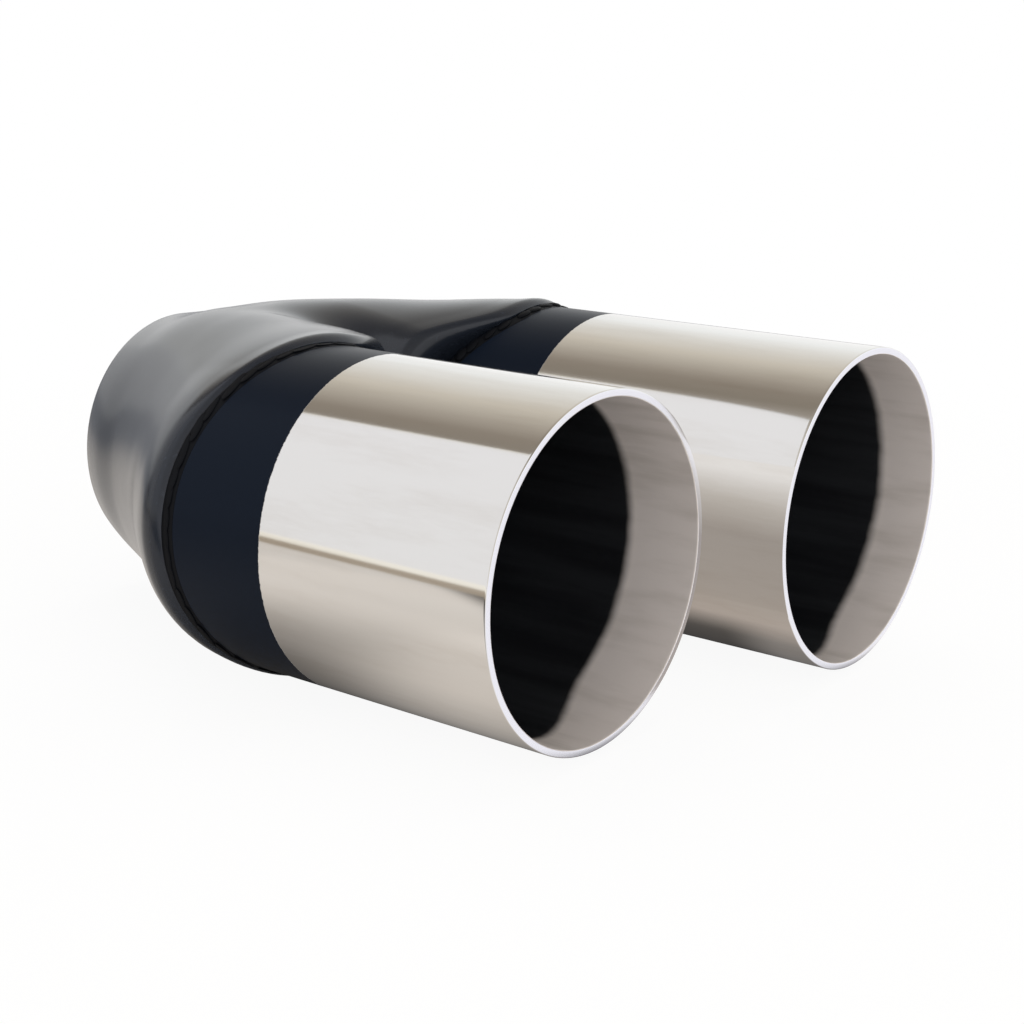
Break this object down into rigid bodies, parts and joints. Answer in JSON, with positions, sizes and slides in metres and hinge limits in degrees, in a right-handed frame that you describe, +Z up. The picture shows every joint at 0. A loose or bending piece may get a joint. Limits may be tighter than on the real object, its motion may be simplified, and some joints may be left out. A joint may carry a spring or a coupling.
{
  "type": "exhaust tip",
  "caption": "Exhaust tip: a round slip-on inlet, a pressed black collector that splits into a Y, and a staggered pair of polished outlet tubes welded into it.",
  "frame": {"origin": "centre of the inlet's open end", "axes": "+Y along the inlet's axis, out of the inlet and away from the mouths, which face -Y; +Z up; the long tube is on the +X side"},
  "size_m": [0.1616, 0.1873, 0.0798],
  "materials": {
    "collector_paint": "satin black paint",
    "tube_steel": "polished, black paint towards the weld",
    "weld_paint": "satin black paint over weld"
  },
  "bodies": {
    "root": {"y_collector": "collector_paint", "outlet_tube_short": "tube_steel", "outlet_tube_long": "tube_steel", "weld_bead_short": "weld_paint", "weld_bead_long": "weld_paint"}
  },
  "joints": []
}
